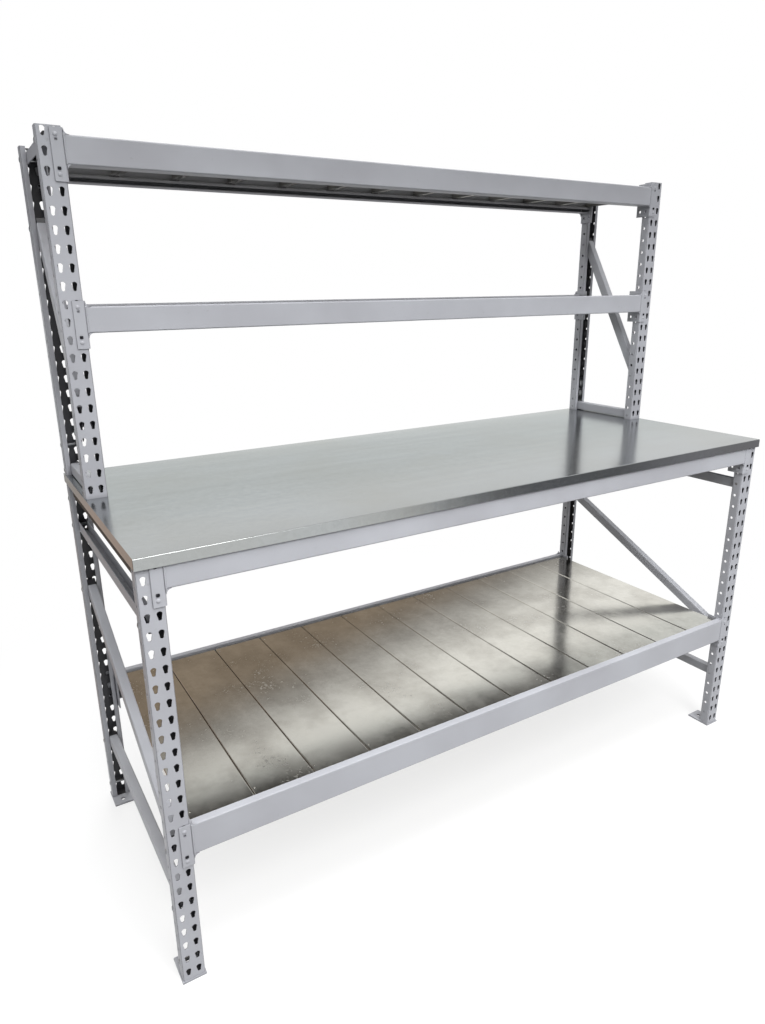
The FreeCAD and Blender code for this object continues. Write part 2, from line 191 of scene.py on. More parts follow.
@dataclass(frozen=True)
class PowderCoat:
    """Powder-coated steel: a sprayed and baked polyester skin.

    It looks satin, with a faint orange peel and handling scuffs, and painted shade where pieces meet and in the
    hollow of the posts.
    """
    name: str = "powder_coated_steel"
    paint: str = "#B2B4BA"
    thin_paint: str = "#A8A9AF"
    clouds: Noise = Noise(260.0, 3.0, 0.55, (0.35, 0.65))
    gloss_band: Span = (0.3, 0.7)
    roughness: Span = (0.36, 0.50)
    ior: float = 1.5
    scuff: str = "#7C7A78"
    scuffs: Noise = Noise(24.0, 9.0, 0.68, (0.63, 0.74))
    scuff_amount: float = 0.45
    # Painted shade in seams and crevices: its colour, reach, band, strength and ray count.
    crevice_shade: str = "#55535A"
    crevice_shade_mm: float = 16.0
    crevice_shade_band: Span = (0.1, 0.85)
    crevice_shade_amount: float = 0.75
    crevice_shade_samples: int = 8
    peel: Noise = Noise(5.0, 2.0)
    peel_strength: float = 0.06
    peel_depth_mm: float = 0.3
    # Dark colour painted into the hollow of the posts as shade.
    post_hollow_shade: str = "#3C3C40"
    post_x_mm: float = 939.8
    outer_row_y_mm: float = 365.5
    inner_row_y_mm: float = 91.7
    hollow_half_mm: Span = (24.4, 14.6)
    upper_from_mm: float = 1028.0

    def hollow(self, tree: Tree, place: Socket) -> Socket:
        """Mark the hollow of every post, which is painted dark as shade: near a post's middle line along X, and
        near a row along Y.

        The row of the upper front posts counts only above the worktop.

        Args:
            tree: the material's tree.
            place: the object's coordinates.

        Returns:
            1 in the posts' hollow and 0 elsewhere.
        """
        axes = add_node(tree, "ShaderNodeSeparateXYZ", {0: place}).outputs
        far_x, far_y = (add_node(tree, "ShaderNodeMath", {0: axes[name]}, operation="ABSOLUTE").outputs[0]
                        for name in ("X", "Y"))
        half_x, half_y = self.hollow_half_mm
        bands = ((far_x, self.post_x_mm, half_x), (far_y, self.outer_row_y_mm, half_y),
                 (axes["Y"], self.inner_row_y_mm, half_y))
        across, outer, inner = (add_node(tree, "ShaderNodeMath", {0: value, 1: middle * MM, 2: half * MM},
                                         operation="COMPARE").outputs[0] for value, middle, half in bands)
        high = add_node(tree, "ShaderNodeMath", {0: axes["Z"], 1: self.upper_from_mm * MM},
                        operation="GREATER_THAN").outputs[0]
        inner = add_node(tree, "ShaderNodeMath", {0: inner, 1: high}, operation="MULTIPLY").outputs[0]
        row = add_node(tree, "ShaderNodeMath", {0: outer, 1: inner}, operation="MAXIMUM").outputs[0]
        return add_node(tree, "ShaderNodeMath", {0: across, 1: row}, operation="MULTIPLY").outputs[0]

    def build(self) -> Material:
        """Make the material: cloudy paint thickness, scattered scuffs, painted shade in the seams, and a peel
        bump.

        The peel is drawn coarser than the real one, so that it shows. In the hollow of the folded posts a dark
        colour is painted in as shade.

        Returns:
            The finish of the frames.
        """
        material, tree = new_material(self.name)
        place = add_node(tree, "ShaderNodeTexCoord").outputs["Object"]
        cloud = add_node(tree, "ShaderNodeTexNoise", self.clouds.inputs(place)).outputs["Fac"]
        spread = add_node(tree, "ShaderNodeMapRange", ramp(cloud, self.clouds.band)).outputs[0]
        tone = add_node(tree, "ShaderNodeMix", blend(spread, self.thin_paint, self.paint),
                        data_type="RGBA").outputs[COLOUR_OUT]
        marks = add_node(tree, "ShaderNodeTexNoise", self.scuffs.inputs(place)).outputs["Fac"]
        worn = add_node(tree, "ShaderNodeMapRange",
                        ramp(marks, self.scuffs.band, (0.0, self.scuff_amount))).outputs[0]
        scuffed = add_node(tree, "ShaderNodeMix", blend(worn, tone, self.scuff),
                           data_type="RGBA").outputs[COLOUR_OUT]
        # Painted shade: an ambient occlusion node darkens the paint wherever other surfaces are near, in seams,
        # under lips and round the connectors.
        crevice = add_node(tree, "ShaderNodeAmbientOcclusion", {"Distance": self.crevice_shade_mm * MM},
                           samples=self.crevice_shade_samples).outputs["AO"]
        crevice_shade_share = add_node(tree, "ShaderNodeMapRange",
                           ramp(crevice, self.crevice_shade_band, (self.crevice_shade_amount, 0.0))).outputs[0]
        crevice_shaded = add_node(tree, "ShaderNodeMix", blend(crevice_shade_share, scuffed, self.crevice_shade),
                         data_type="RGBA").outputs[COLOUR_OUT]
        # Painted shade: the hollow of each post is coloured dark.
        colour = add_node(tree, "ShaderNodeMix", blend(self.hollow(tree, place), crevice_shaded, self.post_hollow_shade),
                          data_type="RGBA").outputs[COLOUR_OUT]
        gloss = add_node(tree, "ShaderNodeMapRange", ramp(cloud, self.gloss_band, self.roughness)).outputs[0]
        peel = add_node(tree, "ShaderNodeTexNoise", self.peel.inputs(place)).outputs["Fac"]
        normal = add_node(tree, "ShaderNodeBump", {"Height": peel, "Strength": self.peel_strength,
                                                   "Distance": self.peel_depth_mm * MM}).outputs[0]
        shader = add_node(tree, "ShaderNodeBsdfPrincipled",
                          {"Base Color": colour, "Roughness": gloss, "Normal": normal, "IOR": self.ior})
        add_node(tree, "ShaderNodeOutputMaterial", {"Surface": shader.outputs[0]})
        return material


@dataclass(frozen=True)
class GalvanisedSheet:
    """Hot-dip galvanised steel sheet: zinc crystals frozen as spangles.

    It looks satin, streaked along the rolling direction, with broad stains and pale handling scuffs.
    """
    name: str
    light: str
    dark: str
    stain: str
    spangle_mm: float
    spangle_share: float
    streak_mm: Span
    stains: Noise
    stain_amount: float
    roughness: Span
    waves: Noise
    wave_depth_mm: float
    scuff_amount: float = 0.0
    scuff: str = "#EAEAE6"
    scuffs: Noise = Noise(9.0, 3.0, 0.7, (0.36, 0.42))
    scuff_roughness: float = 0.5
    wobble_detail: float = 2.0
    wobbles_per_spangle: float = 2.0
    wobble_share: float = 0.004
    streak_detail: float = 5.0
    streak_rough: float = 0.6
    grain_band: Span = (0.25, 0.75)

    def grain(self, tree: Tree, place: Socket) -> Socket:
        """Draw the crystals, whose edges a fine noise bends, and mix them with streaks along one axis.

        Args:
            tree: the material's tree.
            place: the object's coordinates.

        Returns:
            The grain, from 0 to 1.
        """
        waver = Noise(self.spangle_mm / self.wobbles_per_spangle, self.wobble_detail)
        wobble = add_node(tree, "ShaderNodeTexNoise", waver.inputs(place)).outputs["Color"]
        bent = add_node(tree, "ShaderNodeMix", blend(self.wobble_share, place, wobble, MIX_VECTORS),
                        data_type="VECTOR").outputs[VECTOR_OUT]
        cells = add_node(tree, "ShaderNodeTexVoronoi",
                         {"Vector": bent, "Scale": 1 / (self.spangle_mm * MM)}).outputs["Color"]
        crystal = add_node(tree, "ShaderNodeSeparateColor", {0: cells}).outputs[0]
        per_metre = [1 / (size * MM) for size in self.streak_mm]
        along = add_node(tree, "ShaderNodeMapping", {"Vector": place, "Scale": (*per_metre, 1.0)}).outputs[0]
        streak = add_node(tree, "ShaderNodeTexNoise",
                          {"Vector": along, "Scale": 1.0, "Detail": self.streak_detail,
                           "Roughness": self.streak_rough}).outputs["Fac"]
        return add_node(tree, "ShaderNodeMix",
                        blend(1 - self.spangle_share, crystal, streak, MIX_NUMBERS)).outputs[NUMBER_OUT]

    def build(self) -> Material:
        """Make the material: a tone for each crystal, streaks, stains, scuffs and slow waves of the sheet.

        The scuffs lie where fine specks and broad stains are both strong, and are duller than the sheet.

        Returns:
            The finish of a sheet.
        """
        material, tree = new_material(self.name)
        place = add_node(tree, "ShaderNodeTexCoord").outputs["Object"]
        grain = self.grain(tree, place)
        spread = add_node(tree, "ShaderNodeMapRange", ramp(grain, self.grain_band)).outputs[0]
        tone = add_node(tree, "ShaderNodeMix", blend(spread, self.dark, self.light),
                        data_type="RGBA").outputs[COLOUR_OUT]
        blotch = add_node(tree, "ShaderNodeTexNoise", self.stains.inputs(place)).outputs["Fac"]
        faded = add_node(tree, "ShaderNodeMapRange",
                         ramp(blotch, self.stains.band, (0.0, self.stain_amount))).outputs[0]
        stained = add_node(tree, "ShaderNodeMix", blend(faded, tone, self.stain),
                           data_type="RGBA").outputs[COLOUR_OUT]
        polish = add_node(tree, "ShaderNodeMapRange", ramp(grain, self.grain_band, self.roughness)).outputs[0]
        wave = add_node(tree, "ShaderNodeTexNoise", self.waves.inputs(place)).outputs["Fac"]
        normal = add_node(tree, "ShaderNodeBump", {"Height": wave, "Strength": 1.0,
                                                   "Distance": self.wave_depth_mm * MM}).outputs[0]
        speck = add_node(tree, "ShaderNodeTexNoise", self.scuffs.inputs(place)).outputs["Fac"]
        worn = add_node(tree, "ShaderNodeMath", {0: speck, 1: blotch}, operation="MULTIPLY").outputs[0]
        scuffed = add_node(tree, "ShaderNodeMapRange",
                           ramp(worn, self.scuffs.band, (0.0, self.scuff_amount))).outputs[0]
        colour = add_node(tree, "ShaderNodeMix", blend(scuffed, stained, self.scuff),
                          data_type="RGBA").outputs[COLOUR_OUT]
        gloss = add_node(tree, "ShaderNodeMix",
                         blend(scuffed, polish, self.scuff_roughness, MIX_NUMBERS)).outputs[NUMBER_OUT]
        shader = add_node(tree, "ShaderNodeBsdfPrincipled",
                          {"Base Color": colour, "Roughness": gloss, "Normal": normal, "Metallic": 1.0})
        add_node(tree, "ShaderNodeOutputMaterial", {"Surface": shader.outputs[0]})
        return material


@dataclass(frozen=True)
class PlainMetal:
    """Small turned or pressed steel: zinc-plated or blackened, and slightly uneven in tone and gloss."""
    name: str
    light: str
    dark: str
    blotches: Noise
    roughness: Span

    def build(self) -> Material:
        """Make the material: two close tones of the plating in small blotches, which also vary the gloss.

        Returns:
            The finish of small steel pieces.
        """
        material, tree = new_material(self.name)
        place = add_node(tree, "ShaderNodeTexCoord").outputs["Object"]
        blotch = add_node(tree, "ShaderNodeTexNoise", self.blotches.inputs(place)).outputs["Fac"]
        spread = add_node(tree, "ShaderNodeMapRange", ramp(blotch, self.blotches.band)).outputs[0]
        colour = add_node(tree, "ShaderNodeMix", blend(spread, self.dark, self.light),
                          data_type="RGBA").outputs[COLOUR_OUT]
        gloss = add_node(tree, "ShaderNodeMapRange", ramp(blotch, FULL_SPAN, self.roughness)).outputs[0]
        shader = add_node(tree, "ShaderNodeBsdfPrincipled",
                          {"Base Color": colour, "Roughness": gloss, "Metallic": 1.0})
        add_node(tree, "ShaderNodeOutputMaterial", {"Surface": shader.outputs[0]})
        return material


@dataclass(frozen=True)
class ChipBoard:
    """Particle board: pressed wood chips, matt, with a pale and a dark chip side by side; both tones are
    darkened below the board's own brown as painted shade.
    """
    name: str = "particle_board"
    # Chip tones: partly the board's brown, partly painted shade for the shadowed gap under the worktop's lip.
    pale: str = "#4E453B"
    dark: str = "#332C26"
    chip_mm: float = 9.0
    roughness: float = 0.85
    bump_strength: float = 0.4
    bump_depth_mm: float = 0.5

    def build(self) -> Material:
        """Make the material: a random tone for each chip, and a rough sawn bump of the same chips.

        Returns:
            The finish of the core.
        """
        material, tree = new_material(self.name)
        place = add_node(tree, "ShaderNodeTexCoord").outputs["Object"]
        chips = add_node(tree, "ShaderNodeTexVoronoi",
                         {"Vector": place, "Scale": 1 / (self.chip_mm * MM)}).outputs
        chip = add_node(tree, "ShaderNodeSeparateColor", {0: chips["Color"]}).outputs[0]
        colour = add_node(tree, "ShaderNodeMix", blend(chip, self.dark, self.pale),
                          data_type="RGBA").outputs[COLOUR_OUT]
        normal = add_node(tree, "ShaderNodeBump",
                          {"Height": chips["Distance"], "Strength": self.bump_strength,
                           "Distance": self.bump_depth_mm * MM}).outputs[0]
        shader = add_node(tree, "ShaderNodeBsdfPrincipled",
                          {"Base Color": colour, "Roughness": self.roughness, "Normal": normal})
        add_node(tree, "ShaderNodeOutputMaterial", {"Surface": shader.outputs[0]})
        return material


FRAME_PAINT = PowderCoat()
WORKTOP_ZINC = GalvanisedSheet(
    "galvanised_worktop_sheet", light="#BABEBF", dark="#ACB0B1", stain="#A8A8A1", spangle_mm=9.0,
    spangle_share=0.22, streak_mm=(900.0, 45.0), stains=Noise(520.0, 4.0, 0.6, (0.42, 0.68)),
    stain_amount=0.5, roughness=(0.15, 0.21), waves=Noise(420.0, 1.0), wave_depth_mm=0.9)
PLANK_ZINC = GalvanisedSheet(
    "galvanised_plank_sheet", light="#D6D4CE", dark="#C9C7C0", stain="#A09C95", spangle_mm=11.0,
    spangle_share=0.2, streak_mm=(45.0, 500.0), stains=Noise(150.0, 4.0, 0.6, (0.42, 0.68)),
    stain_amount=0.6, roughness=(0.12, 0.19), waves=Noise(190.0, 1.0), wave_depth_mm=1.1, scuff_amount=0.6)
FASTENER_ZINC = PlainMetal("zinc_plated_steel", light="#A6A8AB", dark="#8B8D91",
                           blotches=Noise(6.0, 5.0, band=(0.35, 0.65)), roughness=(0.32, 0.48))
LOCK_STEEL = PlainMetal("blackened_spring_steel", light="#3A3A3E", dark="#202024",
                        blotches=Noise(4.0, 5.0, band=(0.35, 0.65)), roughness=(0.35, 0.55))
CORE_BOARD = ChipBoard()


@dataclass
class Shell:
    """Points of one closed surface and its faces, as lists of point numbers."""
    points: np.ndarray
    faces: list[list[int]]


def ring_shell(rings: np.ndarray) -> Shell:
    """Close a stack of rings into a shell: quads from ring to ring, and a flat face on each end ring.

    Args:
        rings: array of rings by points around by 3.

    Returns:
        The closed shell.
    """
    count, around = rings.shape[:2]
    index = np.arange(count * around).reshape(count, around)
    turned = np.roll(index, -1, axis=1)
    quads = np.stack([index[:-1], turned[:-1], turned[1:], index[1:]], axis=-1).reshape(-1, 4)
    return Shell(rings.reshape(-1, 3), quads.tolist() + [index[0, ::-1].tolist(), index[-1].tolist()])


def circle_turns(count: int) -> np.ndarray:
    """Angles of points spaced evenly round a circle."""
    return np.linspace(0, 2 * math.pi, count, endpoint=False)


def add_piece(name: str, shells: list[Shell], material: Material, body: str = "bench",
              replaced: tuple[str, ...] = ()) -> None:
    """Make one object of some shells, dress it and let it ride on a body.

    Args:
        name: the piece's name.
        shells: closed surfaces in the bench's frame, in metres.
        material: the piece's finish.
        body: the body that the piece moves with.
        replaced: CAD nodes that the piece stands for.
    """
    starts = np.cumsum([0] + [len(shell.points) for shell in shells[:-1]])
    faces = [[int(start) + corner for corner in face]
             for start, shell in zip(starts, shells) for face in shell.faces]
    mesh = bpy.data.meshes.new(name)
    mesh.from_pydata(np.concatenate([shell.points for shell in shells]), [], faces)
    work = bmesh.new()
    work.from_mesh(mesh)
    bmesh.ops.recalc_face_normals(work, faces=work.faces)
    work.to_mesh(mesh)
    work.free()
    mesh.polygons.foreach_set("use_smooth", np.ones(len(mesh.polygons), dtype=bool))
    mesh.set_sharp_from_angle(angle=math.radians(SHARP_DEG))
    mesh.materials.append(material)
    piece = bpy.data.objects.new(name, mesh)
    bpy.context.scene.collection.objects.link(piece)
    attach(piece, body)
    if replaced:
        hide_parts(*replaced)
    log.info("%s: %d faces, on %s", name, len(mesh.polygons), body)


def dress(material: Material, *nodes: str) -> None:
    """Give CAD nodes a finish.

    Args:
        material: the finish.
        nodes: names of the nodes.
    """
    for node in nodes:
        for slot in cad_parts[node].material_slots:
            slot.material = material
        log.info("%s: %s", node, material.name)


def node_box(node: str) -> tuple[np.ndarray, np.ndarray]:
    """Lowest and highest corner of a CAD node as arrays."""
    low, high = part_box(node)
    return np.array(low), np.array(high)


@dataclass(frozen=True)
class BoltRow:
    """A bolt's side of the end frame, its row of side holes, and whether a strap lies under its nut."""
    face: Face
    row: int
    strap: bool = False


@dataclass
class EndFrames:
    """Posts, braces and feet of the lower and upper end frames, with their bolts."""
    painted: tuple[str, ...] = (
        "lower_post", "upper_post", "foot_plate", "lower_top_brace", "lower_low_brace", "lower_diagonal",
        "upper_top_brace", "upper_low_brace", "upper_diagonal")
    lower_rows: tuple[BoltRow, ...] = (
        BoltRow(Face.FRONT, 1, True), BoltRow(Face.REAR, 1, True), BoltRow(Face.FRONT, 5),
        BoltRow(Face.REAR, 5), BoltRow(Face.FRONT, 9), BoltRow(Face.REAR, 18), BoltRow(Face.FRONT, 23),
        BoltRow(Face.REAR, 23), BoltRow(Face.REAR, 25, True))
    upper_rows: tuple[BoltRow, ...] = (
        BoltRow(Face.REAR, 2, True), BoltRow(Face.FRONT, 4), BoltRow(Face.REAR, 16), BoltRow(Face.FRONT, 20),
        BoltRow(Face.REAR, 20))
    pitch: float = 38.1 * MM
    side_hole_drop_share: float = 0.46
    bolt_inset: float = 17.5 * MM
    upper_low_rise: float = 13.0 * MM
    first_slot_rise: float = 21.4 * MM
    shank_radius: float = 4.0 * MM
    shank_tip: Span = (0.5 * MM, 1.2 * MM)
    shank_tip_share: float = 0.9
    head_radius: float = 7.5 * MM
    head_height: float = 2.6 * MM
    head_rings: int = 6
    head_power: float = 0.7
    socket_flat: float = 2.5 * MM
    socket_depth: float = 1.4 * MM
    socket_rim_share: float = 1.2
    nut_flat: float = 6.5 * MM
    nut_height: float = 6.0 * MM
    nut_chamfer: float = 0.6 * MM
    nut_chamfer_share: float = 0.94
    post_sheet: float = 2.0 * MM
    strap_packing: float = 3.2 * MM
    around: int = 48

    def bolt_places(self) -> list[tuple[float, float, bool]]:
        """Places of the bolts of one end, from the rows of the posts' side holes.

        Returns:
            Y, Z and whether a strap lies under the nut, for each bolt.
        """
        lower, _ = node_box("lower_post_front_left")
        upper, _ = node_box("upper_post_front_left")
        rear = -(lower[1] + self.bolt_inset)
        upper_sides = {Face.FRONT: upper[1] + self.bolt_inset, Face.REAR: rear}
        lower_sides = {Face.FRONT: -rear, Face.REAR: rear}
        first = self.first_slot_rise - self.side_hole_drop_share * self.pitch
        places = [(sides[bolt.face], post[2] + first + bolt.row * self.pitch, bolt.strap)
                  for post, sides, rows in ((lower, lower_sides, self.lower_rows),
                                            (upper, upper_sides, self.upper_rows)) for bolt in rows]
        places += [(y, upper[2] + self.upper_low_rise, face is Face.REAR) for face, y in upper_sides.items()]
        return places

    def turned(self, steps: list[Point], x: float, out: int, y: float, z: float) -> Shell:
        """Stack rings along X: circles, or the smaller of a circle and a hexagon, which chamfers its corners.

        The hexagon's edge is as far from its middle as the flat's distance over the cosine of the turn from
        the flat.

        Args:
            steps: distance outwards, circle radius and the hexagon's flat distance (0 for none) of each ring.
            x: where distance 0 lies.
            out: sign of X that the distance grows in.
            y: the axis's place from front to rear.
            z: the axis's height.

        Returns:
            The closed shell.
        """
        turn = circle_turns(self.around)
        far, circle, flat = (np.array(column)[:, None] for column in zip(*steps))
        hexagon = flat / np.cos((turn + HEX_TURN / 2) % HEX_TURN - HEX_TURN / 2)
        radius = np.where(flat > 0, np.minimum(circle, hexagon), circle)
        return ring_shell(np.stack([x + out * far * np.ones_like(turn), y + radius * np.sin(turn),
                                    z + radius * np.cos(turn)], -1))

    def bolt(self, end: End, y: float, z: float, strap: bool) -> list[Shell]:
        """One bolt: a low round head with a hexagon socket, a shank across the post, and a nut in the frame.

        The head's height follows the sine of an angle and its radius a power of the cosine, which rounds it.

        Args:
            end: the bench's end that the bolt is at.
            y: the bolt's place from front to rear.
            z: its height.
            strap: whether a strap lies under the nut.

        Returns:
            Head, nut and shank.
        """
        low, high = node_box("lower_post_front_right")
        outer, inner = end.value * high[0], end.value * low[0]
        top, flat = self.head_height, self.socket_flat
        rim, corner = (distance / math.cos(HEX_TURN / 2) for distance in (flat, self.nut_flat))
        bulge = np.linspace(0, math.pi / 2, self.head_rings, endpoint=False)
        head = [(0.0, self.head_radius, 0.0)]
        head += [(top * math.sin(t), self.head_radius * math.cos(t) ** self.head_power, 0.0) for t in bulge]
        head += [(top, rim * self.socket_rim_share, 0.0), (top, rim, flat),
                 (top - self.socket_depth, rim, flat)]
        start = self.post_sheet + (self.strap_packing if strap else 0.0)
        stop, worn = start + self.nut_height, corner * self.nut_chamfer_share
        nut = [(start, worn, self.nut_flat), (start + self.nut_chamfer, corner, self.nut_flat),
               (stop - self.nut_chamfer, corner, self.nut_flat), (stop, worn, self.nut_flat)]
        shank = [(self.shank_tip[0], self.shank_radius * self.shank_tip_share, 0.0),
                 (self.shank_tip[1], self.shank_radius, 0.0), (high[0] - low[0], self.shank_radius, 0.0)]
        return [self.turned(steps, x, end.value, y, z)
                for steps, x in ((head, outer), (nut, inner), (shank, inner))]

    def build(self, paint: Material, zinc: Material) -> None:
        """Dress the posts, feet and braces, and put real bolts in place of the plain ones.

        Args:
            paint: finish of the frames.
            zinc: finish of the bolts and splices.
        """
        dress(paint, *(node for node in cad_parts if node.startswith(self.painted)))
        dress(zinc, "post_splices", "frame_bolts")
        shells = [shell for end in End for place in self.bolt_places() for shell in self.bolt(end, *place)]
        add_piece("frame_bolts_domed", shells, zinc, replaced=("frame_bolts",))


@dataclass
class BeamLevels:
    """Beams, end connectors, studs and locks of the four levels, with the welds at the beams' ends."""
    top_flange: float = 21.0 * MM
    step: float = 38.0 * MM
    ledge_lip: float = 8.0 * MM
    bead_radius: float = 1.7 * MM
    bead_step: float = 0.8 * MM
    bead_around: int = 10
    bead_tip_share: float = 0.25
    corner_round: int = 5
    ripple: float = 3.2 * MM
    ripple_share: float = 0.16
    flare: float = 11.0 * MM
    flare_thick: float = 2.6 * MM
    flare_sink: float = 0.8 * MM
    flare_points: int = 9
    head_depth: float = 1.8 * MM
    head_edge: float = 0.3 * MM
    head_cushion: tuple[Point, ...] = ((0.0, 0.72, 0.70), (0.2 * MM, 0.88, 0.87), (0.5 * MM, 0.97, 0.96))
    head_back: Span = (0.97, 0.96)
    tongue: Span = (0.667, 0.615)
    tongue_taper: float = 0.8 * MM
    tongue_tip: Span = (0.56, 0.50)
    lock_power: float = 0.4
    lock_around: int = 40

    def bead_path(self, low: np.ndarray, high: np.ndarray, face: Face, x: float) -> np.ndarray:
        """Follow a beam's folded outline at its end, from the lower flange over the face to the ledge's lip.

        Args:
            low: the beam's lowest corner.
            high: the beam's highest corner.
            face: the beam's side of the bench.
            x: where the beam ends.

        Returns:
            Points spaced evenly along the outline, its corners rounded by a running mean.
        """
        outer = low[1] if face is Face.FRONT else high[1]
        width, ledge = high[1] - low[1], high[2] - self.step
        outline = np.array([(width, low[2]), (0, low[2]), (0, high[2]), (self.top_flange, high[2]),
                            (self.top_flange, ledge), (width, ledge), (width, ledge - self.ledge_lip)])
        travel = np.concatenate([[0], np.cumsum(np.linalg.norm(np.diff(outline, axis=0), axis=1))])
        stops = np.linspace(0, travel[-1], int(travel[-1] / self.bead_step))
        flat = np.stack([np.interp(stops, travel, outline[:, axis]) for axis in (0, 1)], -1)
        pad = self.corner_round // 2
        padded = np.pad(flat, ((pad, pad), (0, 0)), mode="edge")
        mean = np.ones(self.corner_round) / self.corner_round
        flat = np.stack([np.convolve(padded[:, axis], mean, mode="valid") for axis in (0, 1)], -1)
        return np.stack([np.full(len(flat), x), outer - face.value * flat[:, 0], flat[:, 1]], -1)

    def bead(self, path: np.ndarray) -> Shell:
        """Carry a circle along a path.

        Its radius swells once per ripple, by the sine of the way travelled, as a weld pool freezes, and
        shrinks at both ends.

        Args:
            path: points along the seam.

        Returns:
            The closed bead.
        """
        along = np.gradient(path, axis=0)
        along /= np.linalg.norm(along, axis=1, keepdims=True)
        side = np.tile([1.0, 0.0, 0.0], (len(path), 1))
        up = np.cross(along, side)
        travel = np.arange(len(path)) * self.bead_step
        swell = 1 + self.ripple_share * np.abs(np.sin(math.pi * travel / self.ripple))
        ends = np.minimum(1.0, np.minimum(travel, travel[::-1]) / self.bead_radius + self.bead_tip_share)
        radius = (self.bead_radius * swell * ends)[:, None, None]
        turn = circle_turns(self.bead_around)[None, :, None]
        spoke = np.cos(turn) * side[:, None] + np.sin(turn) * up[:, None]
        return ring_shell(path[:, None] + radius * spoke)

    def flare_shell(self, corner: np.ndarray, inwards_x: int, up: int, into: int) -> Shell:
        """Fill the corner between a beam's edge and its connector with a hollow-sided weld flare.

        The sides run along the beam and along the connector, and the free side is a quarter circle bent
        towards the corner, carried through the flare's thickness from front to rear.

        Args:
            corner: where the beam's edge meets the connector, on the outer face.
            inwards_x: sign of X along the beam.
            up: sign of Z away from the beam.
            into: sign of Y into the bench.

        Returns:
            The closed flare.
        """
        turn = np.linspace(0, math.pi / 2, self.flare_points)
        hollow = np.stack([self.flare * (1 - np.sin(turn)), self.flare * (1 - np.cos(turn))], -1)
        flat = np.concatenate([[(-self.flare_sink, -self.flare_sink)], hollow])
        depth = np.array([0.0, self.flare_thick])[:, None] * np.ones(len(flat))
        return ring_shell(np.stack([corner[0] + inwards_x * flat[:, 0] * np.ones_like(depth),
                                    corner[1] + into * depth,
                                    corner[2] + up * flat[:, 1] * np.ones_like(depth)], -1))

    def welds(self, beam: str, face: Face) -> list[Shell]:
        """Beads and flares at both ends of one beam.

        Args:
            beam: the CAD beam.
            face: its side of the bench.

        Returns:
            A bead, an upper flare and a lower flare for each end.
        """
        low, high = node_box(beam)
        outer = low[1] if face is Face.FRONT else high[1]
        shells = []
        for end, x in ((End.LEFT, low[0]), (End.RIGHT, high[0])):
            shells.append(self.bead(self.bead_path(low, high, face, x)))
            shells += [self.flare_shell(np.array([x, outer, edge]), -end.value, up, -face.value)
                       for edge, up in ((high[2], 1), (low[2], -1))]
        return shells

    def lock(self, node: str, face: Face) -> Shell:
        """Stack rounded rectangles along Y: a cushioned finger head, a neck and a tongue with a blunt tip.

        Each ring is a superellipse, the sign-kept power of sine and cosine, which rounds the corners. A ring
        is given by its distance behind the head's face, and its shares of the lock's half width and height.

        Args:
            node: the CAD lock.
            face: the lock's side of the bench.

        Returns:
            The closed lock.
        """
        low, high = node_box(node)
        middle, half = (low + high) / 2, (high - low) / 2
        front, length = (low if face is Face.FRONT else high)[1], high[1] - low[1]
        rings = np.array([*self.head_cushion, (self.head_depth - self.head_edge, 1.0, 1.0),
                          (self.head_depth, *self.head_back), (self.head_depth, *self.tongue),
                          (length - self.tongue_taper, *self.tongue), (length, *self.tongue_tip)])
        turn = circle_turns(self.lock_around)
        wide, tall = (np.sign(wave) * np.abs(wave) ** self.lock_power
                      for wave in (np.cos(turn), np.sin(turn)))
        x = middle[0] + rings[:, 1:2] * half[0] * wide
        y = front - face.value * rings[:, 0:1] * np.ones_like(turn)
        z = middle[2] + rings[:, 2:3] * half[2] * tall
        return ring_shell(np.stack([x, y, z], -1))

    def build(self, paint: Material, black: Material) -> None:
        """Dress each level and add its welds and locks.

        Args:
            paint: finish of beams, connectors, studs and welds.
            black: finish of the locks.
        """
        dress(paint, "connector_studs")
        for level in Level:
            dress(paint, f"{level.value}_connectors")
            for face in Face:
                beam = f"{level.value}_beam_{face.name.lower()}"
                dress(paint, beam)
                add_piece(f"{beam}_welds", self.welds(beam, face), paint)
                for end in End:
                    node = f"{level.value}_lock_{face.name.lower()}_{end.name.lower()}"
                    dress(black, node)
                    add_piece(f"{node}_pressed", [self.lock(node, face)], black, body=node,
                              replaced=(node,))


@dataclass
class Decks:
    """The worktop's sheet and core, and the three plank decks with the clinch marks at the planks' ends."""
    planks: int = 12
    mark_radius: float = 2.6 * MM
    mark_height: float = 0.9 * MM
    mark_sink: float = 0.4 * MM
    mark_shares: tuple[float, ...] = (1.0, 1.0, 0.9, 0.7, 0.45, 0.2)
    mark_around: int = 20
    mark_from_end: float = 26.0 * MM
    mark_from_joint: float = 8.0 * MM

    def mark(self, x: float, y: float, top: float) -> Shell:
        """Raised clinch mark: a flat dome, whose height falls with the square of the way from its middle.

        Args:
            x: the mark's place along the bench.
            y: its place from front to rear.
            top: height of the plank's face, below which the first ring is sunk.

        Returns:
            The closed mark.
        """
        turn = circle_turns(self.mark_around)
        share = np.array(self.mark_shares)[:, None]
        height = self.mark_height * (1 - share ** 2)
        height[0] = -self.mark_sink
        radius = self.mark_radius * share
        return ring_shell(np.stack([x + radius * np.cos(turn), y + radius * np.sin(turn),
                                    top + height * np.ones_like(turn)], -1))

    def build(self, worktop: Material, plank: Material, board: Material) -> None:
        """Dress the sheet, the board and the planks, and add the clinch marks.

        Args:
            worktop: finish of the worktop's sheet.
            plank: finish of the planks.
            board: finish of the core.
        """
        dress(worktop, "worktop_pan")
        dress(board, "worktop_core")
        for level in (Level.SHELF, Level.MIDDLE, Level.TOP):
            node = f"{level.value}_planks"
            dress(plank, node)
            low, high = node_box(node)
            step = (high[0] - low[0]) / self.planks
            marks = [self.mark(low[0] + number * step + self.mark_from_joint, y, high[2])
                     for number in range(self.planks)
                     for y in (low[1] + self.mark_from_end, high[1] - self.mark_from_end)]
            add_piece(f"{node}_clinch_marks", marks, plank)


